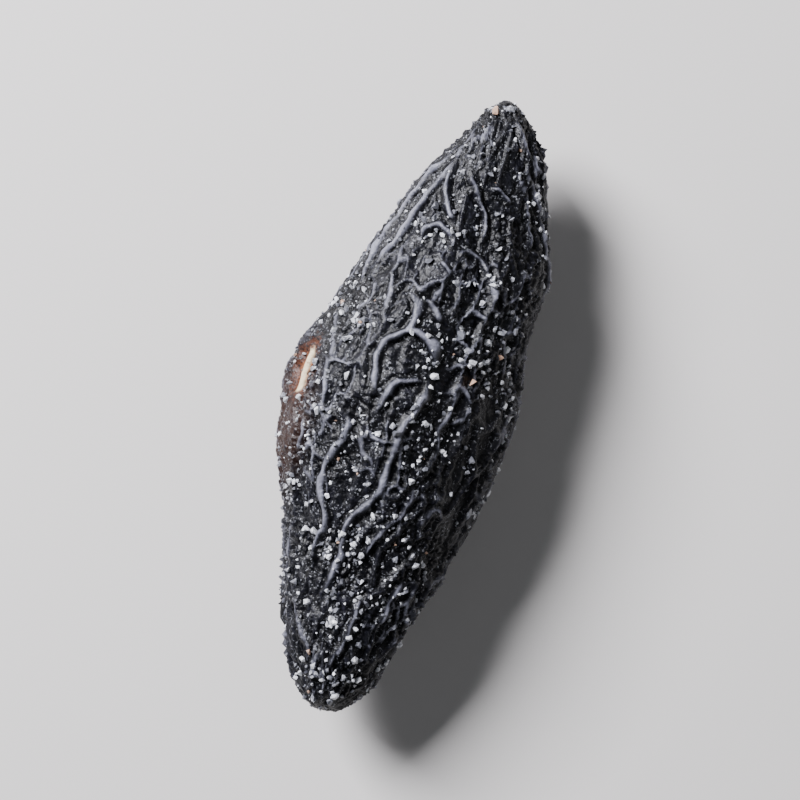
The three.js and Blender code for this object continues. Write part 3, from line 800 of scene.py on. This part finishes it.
def growth_chance(at, raised, coarse, scar_out):
    """The chance that a crystal grows at each place."""
    clusters = smooth_noise(at / CLUSTER_LENGTH, CLUSTER_SEED)
    clusters = clusters + TUFT_SHARE * smooth_noise(at / TUFT_LENGTH, TUFT_SEED)
    hollow = 1 - smooth_step(raised, *HOLLOW_EDGE)
    frosty = FROST_BASE + FROST_CLUSTERED * clusters + FROST_COARSE * coarse
    frosty = frosty + FROST_LEAN * smooth_step(-at[:, 0], *LEAN_EDGE)
    bare = SCAR_BARE * (1 - smooth_step(scar_out, *SCAR_BARE_EDGE))
    chance = np.clip(frosty, LEAST_CHANCE, 1) * (CREST_CHANCE + (1 - CREST_CHANCE) * hollow)
    return chance * (1 - bare) * (at[:, 2] > LOWEST_SMALL)


def choose_grains(mesh, rng):
    """Place, way out, size and stain of each grain: first the large ones, then the scattered ones."""
    middles, normals, areas, raised, coarse, scar_out = read_faces(mesh)
    grains = large_grains(middles, normals)
    drawn = rng.choice(len(areas), CRYSTAL_TRIES, p=areas / areas.sum())
    chance = growth_chance(middles[drawn], raised[drawn], coarse[drawn], scar_out[drawn])
    for site in drawn[rng.random(len(drawn)) < chance]:
        size = min(CRYSTAL_MEDIAN * math.exp(CRYSTAL_SPREAD * rng.standard_normal()), CRYSTAL_LARGEST)
        grains.append((middles[site], normals[site], size, float(rng.random() < TAN_SHARE)))
    return grains


print("small crystals: half are under", CRYSTAL_MEDIAN, "mm in radius, the largest", CRYSTAL_LARGEST, "mm")

# %% Build the crystals
CRYSTAL_SEED = 7
CRYSTAL_SINK = 0.35
CRYSTAL_STRETCH = 1.1
CORNER_SHIFT = 0.75


def grain_template():
    """The corners and the faces of one ball of twenty faces."""
    bm = bmesh.new()
    bmesh.ops.create_icosphere(bm, subdivisions=1, radius=1)
    corners = np.array([corner.co for corner in bm.verts])
    faces = np.array([[corner.index for corner in face.verts] for face in bm.faces])
    bm.free()
    return corners, faces


def make_crystals(skin_mesh):
    """All crystals as one mesh: each is a ball of twenty faces, stretched, dented and turned at random."""
    rng = np.random.default_rng(CRYSTAL_SEED)
    places, normals, sizes, stains = (np.array(part) for part in zip(*choose_grains(skin_mesh, rng)))
    corners, faces = grain_template()
    count, each = len(sizes), len(corners)
    turns = np.array([Quaternion(q).normalized().to_matrix() for q in rng.standard_normal((count, 4))])
    shapes = corners * (1 + CRYSTAL_STRETCH * (rng.random((count, 1, 3)) - 0.5))
    shapes = shapes + CORNER_SHIFT * (rng.random((count, each, 3)) - 0.5)
    shapes = np.einsum("nij,nkj->nki", turns, shapes) * sizes[:, None, None]
    centres = places + normals * (sizes * (1 - 2 * CRYSTAL_SINK))[:, None]
    points = (shapes + centres[:, None]).reshape(-1, 3) * MM
    all_faces = (faces + each * np.arange(count)[:, None, None]).reshape(-1, 3)
    mesh = bpy.data.meshes.new("crystals")
    mesh.from_pydata(points.tolist(), [], all_faces.tolist())
    for name, values in (("shade", rng.random(count)), ("tan", stains)):
        mesh.attributes.new(name, "FLOAT", "FACE").data.foreach_set("value", np.repeat(values, len(faces)))
    crystals = bpy.data.objects.new("crystals", mesh)
    bpy.context.collection.objects.link(crystals)
    print("crystals:", count, "grains,", len(mesh.polygons), "faces")
    return crystals


crystals = make_crystals(skin.data)
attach(crystals, BODY)

# %% [markdown]
# ## The skin's finish
#
# The skin is nearly black. The hollows are the darkest, with painted shade in the grooves and pits, the
# facets between them have a cool bloom, and a patch behind the scar is tinted brown. Crests are smoother and
# painted pale, partly as wear and partly as a painted highlight, and a fine white dust lies here and there.
# A painted picture could be wrapped round the bean, but the measures kept with the mesh already know where
# the crests, hollows and scar are, so they drive the colours and stay in place from every side.
# Noise on Object coordinates breaks them up, and a very fine bump gives the grain that is too small for the
# mesh.

# %% Material helpers
PER_METRE = 1000


def new_material(name):
    """A material without nodes, and a function that adds a node with values on its inputs."""
    material = bpy.data.materials.new(name)
    material.use_nodes = True
    tree = material.node_tree
    tree.nodes.clear()

    def add(kind, inputs=(), **settings):
        node = tree.nodes.new(kind)
        for key, value in settings.items():
            setattr(node, key, value)
        for key, value in dict(inputs).items():
            if isinstance(value, bpy.types.NodeSocket):
                tree.links.new(value, node.inputs[key])
            else:
                node.inputs[key].default_value = value
        return node

    return material, add


def mix_colour(add, factor, low, high):
    """The low colour where the factor is 0, the high one where it is 1, and a blend between."""
    return add("ShaderNodeMix", {0: factor, 6: low, 7: high}, data_type="RGBA").outputs[2]


def ramp(add, value, low, high, out_low=0.0, out_high=1.0):
    """A value stretched from one range to another, smooth and clamped."""
    inputs = {"Value": value, "From Min": low, "From Max": high, "To Min": out_low, "To Max": out_high}
    return add("ShaderNodeMapRange", inputs, interpolation_type="SMOOTHSTEP").outputs["Result"]


def plus(add, first, second):
    """The sum of two values."""
    return add("ShaderNodeMath", {0: first, 1: second}, operation="ADD").outputs[0]


def times(add, first, second):
    """The product of two values."""
    return add("ShaderNodeMath", {0: first, 1: second}, operation="MULTIPLY").outputs[0]


def kept(add, name):
    """A measure that is kept with the mesh."""
    return add("ShaderNodeAttribute", attribute_name=name).outputs["Fac"]


def noise(add, where, scale, detail=3.0):
    """Noise with its scale given per millimetre."""
    inputs = {"Vector": where, "Scale": scale * PER_METRE, "Detail": detail}
    return add("ShaderNodeTexNoise", inputs).outputs["Fac"]


def finish_surface(add, inputs):
    """The shader with these inputs, joined to the material's output."""
    shader = add("ShaderNodeBsdfPrincipled", inputs)
    add("ShaderNodeOutputMaterial", {"Surface": shader.outputs["BSDF"]})


print("noise scales are per mm, times", PER_METRE)

# %% Skin material
# Painted shade: near-black for the grooves, the pits and the scar's crack.
PAINTED_SHADE_COLOUR = (0.0012, 0.0013, 0.0022, 1)
FACET_COLOUR = (0.0035, 0.0038, 0.0058, 1)
BLOOM_COLOUR = (0.017, 0.017, 0.026, 1)
# Crest colour: partly wear and partly a painted highlight.
CREST_WEAR_AND_HIGHLIGHT_COLOUR = (0.245, 0.25, 0.305, 1)
BROWN_TINT = (0.030, 0.013, 0.009, 1)
DUST_COLOUR = (0.32, 0.33, 0.36, 1)
SCAR_DARK = (0.055, 0.018, 0.010, 1)
SCAR_COLOUR = (0.36, 0.14, 0.065, 1)
SCAR_CREAM = (0.80, 0.66, 0.44, 1)
# The last scale breaks up the crests' wear and painted highlight.
PATCH_SCALE, MOTTLE_SCALE, GRAIN_SCALE, DUST_SCALE, WEAR_AND_HIGHLIGHT_SCALE = 0.3, 1.8, 5, 7, 0.9
SKIN_ROUGHNESS, CREST_ROUGHNESS = 0.37, 0.28
BUMP_STRENGTH, BUMP_DISTANCE = 0.8, 0.1


def scar_layers(add, colour, mottle, grain):
    """The scar over a colour: a dark torn edge, brown flesh, a cream lip and painted shade in the crack."""
    torn = plus(add, kept(add, "scar_out"), ramp(add, grain, 0.3, 0.7, -0.3, 0.3))
    colour = mix_colour(add, ramp(add, torn, 0.85, 1.15, 1, 0), colour, SCAR_DARK)
    flesh = times(add, ramp(add, torn, 0.5, 0.95, 1, 0), ramp(add, grain, 0.4, 0.55))
    colour = mix_colour(add, flesh, colour, SCAR_COLOUR)
    lip = times(add, ramp(add, kept(add, "scar_lip"), 0.3, 0.7), ramp(add, mottle, 0.36, 0.5))
    colour = mix_colour(add, lip, colour, SCAR_CREAM)
    # Painted shade in the scar's crack.
    return mix_colour(add, ramp(add, kept(add, "scar_crack"), 0.3, 0.7), colour, PAINTED_SHADE_COLOUR)


def make_skin_material():
    """The skin's layers from the darkest up: painted shade in the hollows, brown tint, bloom, dust, crests
    painted pale as wear and as a painted highlight, and the scar.
    """
    material, add = new_material("bean_skin")
    where = add("ShaderNodeTexCoord").outputs["Object"]
    patches = noise(add, where, PATCH_SCALE)
    mottle = noise(add, where, MOTTLE_SCALE, 4.0)
    grain = noise(add, where, GRAIN_SCALE, 5.0)
    # Painted shade: the grooves and pits are darkened.
    colour = mix_colour(add, ramp(add, kept(add, "dark"), 0.05, 0.6), FACET_COLOUR, PAINTED_SHADE_COLOUR)
    colour = mix_colour(add, ramp(add, kept(add, "brown"), 0.1, 0.9, 0, 0.9), colour, BROWN_TINT)
    bloom = times(add, ramp(add, kept(add, "raised"), 0.04, 0.3), ramp(add, grain, 0.42, 0.66))
    # Painted shade: the bloom fades in the grooves and pits.
    bloom = times(add, bloom, ramp(add, kept(add, "dark"), 0.1, 0.6, 1, 0.1))
    bloom = times(add, bloom, ramp(add, patches, 0.35, 0.65, 0.35, 1))
    colour = mix_colour(add, bloom, colour, BLOOM_COLOUR)
    dust = ramp(add, noise(add, where, DUST_SCALE), 0.56, 0.68)
    colour = mix_colour(add, times(add, dust, ramp(add, mottle, 0.42, 0.62, 0, 0.8)), colour, DUST_COLOUR)
    # Crests are painted pale, partly as wear and partly as a painted highlight, broken up by noise.
    wear_and_highlight = ramp(add, noise(add, where, WEAR_AND_HIGHLIGHT_SCALE), 0.32, 0.6, 0.5, 1)
    crest = times(add, ramp(add, kept(add, "crest"), 0.3, 1), wear_and_highlight)
    colour = mix_colour(add, crest, colour, CREST_WEAR_AND_HIGHLIGHT_COLOUR)
    colour = scar_layers(add, colour, mottle, grain)
    rough = ramp(add, crest, 0, 1, SKIN_ROUGHNESS, CREST_ROUGHNESS)
    bump = add("ShaderNodeBump", {"Height": grain, "Strength": BUMP_STRENGTH, "Distance": BUMP_DISTANCE * MM})
    finish_surface(add, {
        "Base Color": colour, "Roughness": plus(add, rough, ramp(add, mottle, 0.3, 0.7, -0.08, 0.1)),
        "Normal": bump.outputs["Normal"], "Specular IOR Level": 0.3,
    })
    print("skin material:", len(material.node_tree.nodes), "nodes")
    return material


skin.data.materials.append(make_skin_material())

# %% [markdown]
# ## The crystals' finish
#
# Crystals are clear inside and white where they are cracked, so they scatter light like coarse salt. Real
# glass could be used, but grains this small would turn dark and noisy, so they are pale and a little
# glossy. Each grain has a brightness of its own, kept on its faces. A few are stained tan by bits of the
# husk.

# %% Crystal material
DIM_CRYSTAL = (0.16, 0.165, 0.19, 1)
BRIGHT_CRYSTAL = (0.86, 0.88, 0.92, 1)
TAN_CRYSTAL = (0.55, 0.36, 0.26, 1)
CLOUD_SCALE = 8


def make_crystal_material():
    """The crystals' material: clouded, each grain of its own brightness, and tan where it is stained."""
    material, add = new_material("crystal")
    where = add("ShaderNodeTexCoord").outputs["Object"]
    cloud = ramp(add, noise(add, where, CLOUD_SCALE, 2.0), 0.3, 0.7, -0.2, 0.2)
    tone = plus(add, kept(add, "shade"), cloud)
    colour = mix_colour(add, ramp(add, tone, 0.2, 1), DIM_CRYSTAL, BRIGHT_CRYSTAL)
    colour = mix_colour(add, kept(add, "tan"), colour, TAN_CRYSTAL)
    finish_surface(add, {"Base Color": colour, "Roughness": 0.3, "Specular IOR Level": 0.6})
    print("crystal material:", len(material.node_tree.nodes), "nodes")
    return material


crystals.data.materials.append(make_crystal_material())

# %% [markdown]
# ## The floor
#
# The bean lies on a plain pale floor. A single large square is enough to rest on and to take the shadow.

# %% Floor
FLOOR_SIZE = 2.0
FLOOR_COLOUR = (0.82, 0.80, 0.77, 1)


def make_floor():
    """A square floor under the bean, with a matt finish."""
    bm = bmesh.new()
    bmesh.ops.create_grid(bm, x_segments=1, y_segments=1, size=FLOOR_SIZE / 2)
    mesh = bpy.data.meshes.new("floor")
    bm.to_mesh(mesh)
    bm.free()
    floor = bpy.data.objects.new("floor", mesh)
    bpy.context.collection.objects.link(floor)
    material, add = new_material("floor")
    finish_surface(add, {"Base Color": FLOOR_COLOUR, "Roughness": 0.9})
    mesh.materials.append(material)
    floor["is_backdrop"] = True


make_floor()
print("floor of", FLOOR_SIZE, "m")

# %% [markdown]
# ## Light
#
# A soft key light from the upper left of the picture draws the ridges. A large weak light above fills the
# shadows, and a faint cool world keeps the darkest hollows from going quite black. A stronger fill would
# flatten the wrinkles.

# %% Lights and world
TIP_DIRECTION = Vector((0.2827, 0.9592))
LIGHT_COLOUR = (0.95, 0.945, 1)
KEY_SIZE, KEY_POWER, KEY_DISTANCE, KEY_HEIGHT = 0.13, 2.9, 0.24, 0.19
FILL_SIZE, FILL_POWER, FILL_DISTANCE, FILL_HEIGHT = 0.5, 0.3, 0.3, 0.4
AIM_HEIGHT = 0.005
WORLD_COLOUR, WORLD_STRENGTH = (0.85, 0.92, 1, 1), 0.04


def add_light(name, size, power, place):
    """A soft square light that looks at the bean."""
    data = bpy.data.lights.new(name, "AREA")
    data.size = size
    data.energy = power
    data.color = LIGHT_COLOUR
    light = bpy.data.objects.new(name, data)
    light.location = place
    light.rotation_euler = (Vector((0, 0, AIM_HEIGHT)) - Vector(place)).to_track_quat("-Z", "Y").to_euler()
    bpy.context.collection.objects.link(light)


picture_right = Vector((TIP_DIRECTION.x, -TIP_DIRECTION.y, 0))
picture_up = Vector((TIP_DIRECTION.y, TIP_DIRECTION.x, 0))
key_side = picture_up - picture_right
add_light("key", KEY_SIZE, KEY_POWER, key_side.normalized() * KEY_DISTANCE + Vector((0, 0, KEY_HEIGHT)))
add_light("fill", FILL_SIZE, FILL_POWER, picture_right * FILL_DISTANCE + Vector((0, 0, FILL_HEIGHT)))

world = bpy.data.worlds.new("studio")
world.use_nodes = True
world.node_tree.nodes["Background"].inputs["Color"].default_value = WORLD_COLOUR
world.node_tree.nodes["Background"].inputs["Strength"].default_value = WORLD_STRENGTH
bpy.context.scene.world = world
print("key light of", KEY_POWER, "W and fill of", FILL_POWER, "W")

# %% [markdown]
# ## Camera
#
# The photograph looks straight down, so the camera does too. It is rolled so that the narrow tip points up
# and a little to the right. A long lens keeps the perspective weak, so that both flanks show.

# %% Camera
CAMERA_HEIGHT = 0.165
FOCAL_LENGTH = 120
NEAREST_SEEN = 0.001

camera_data = bpy.data.cameras.new("camera")
camera_data.lens = FOCAL_LENGTH
camera_data.clip_start = NEAREST_SEEN
camera = bpy.data.objects.new("camera", camera_data)
camera.location = (0, 0, CAMERA_HEIGHT)
camera.rotation_euler = (0, 0, math.atan2(picture_right.y, picture_right.x))
bpy.context.collection.objects.link(camera)
bpy.context.scene.camera = camera
print("camera looks down from", CAMERA_HEIGHT, "m")

# %% [markdown]
# ## Sizes and finish
#
# The finished bean has to fill the same box as the plain solid, so the difference between the two boxes is
# printed.

# %% Sizes and finish
new_low, new_high = (list(corner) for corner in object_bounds())
growth = [round((n - c) / MM, 3) for c, n in zip(cad_low + cad_high, new_low + new_high)]
print("the visual bean's box differs from the solid's by", growth, "mm")
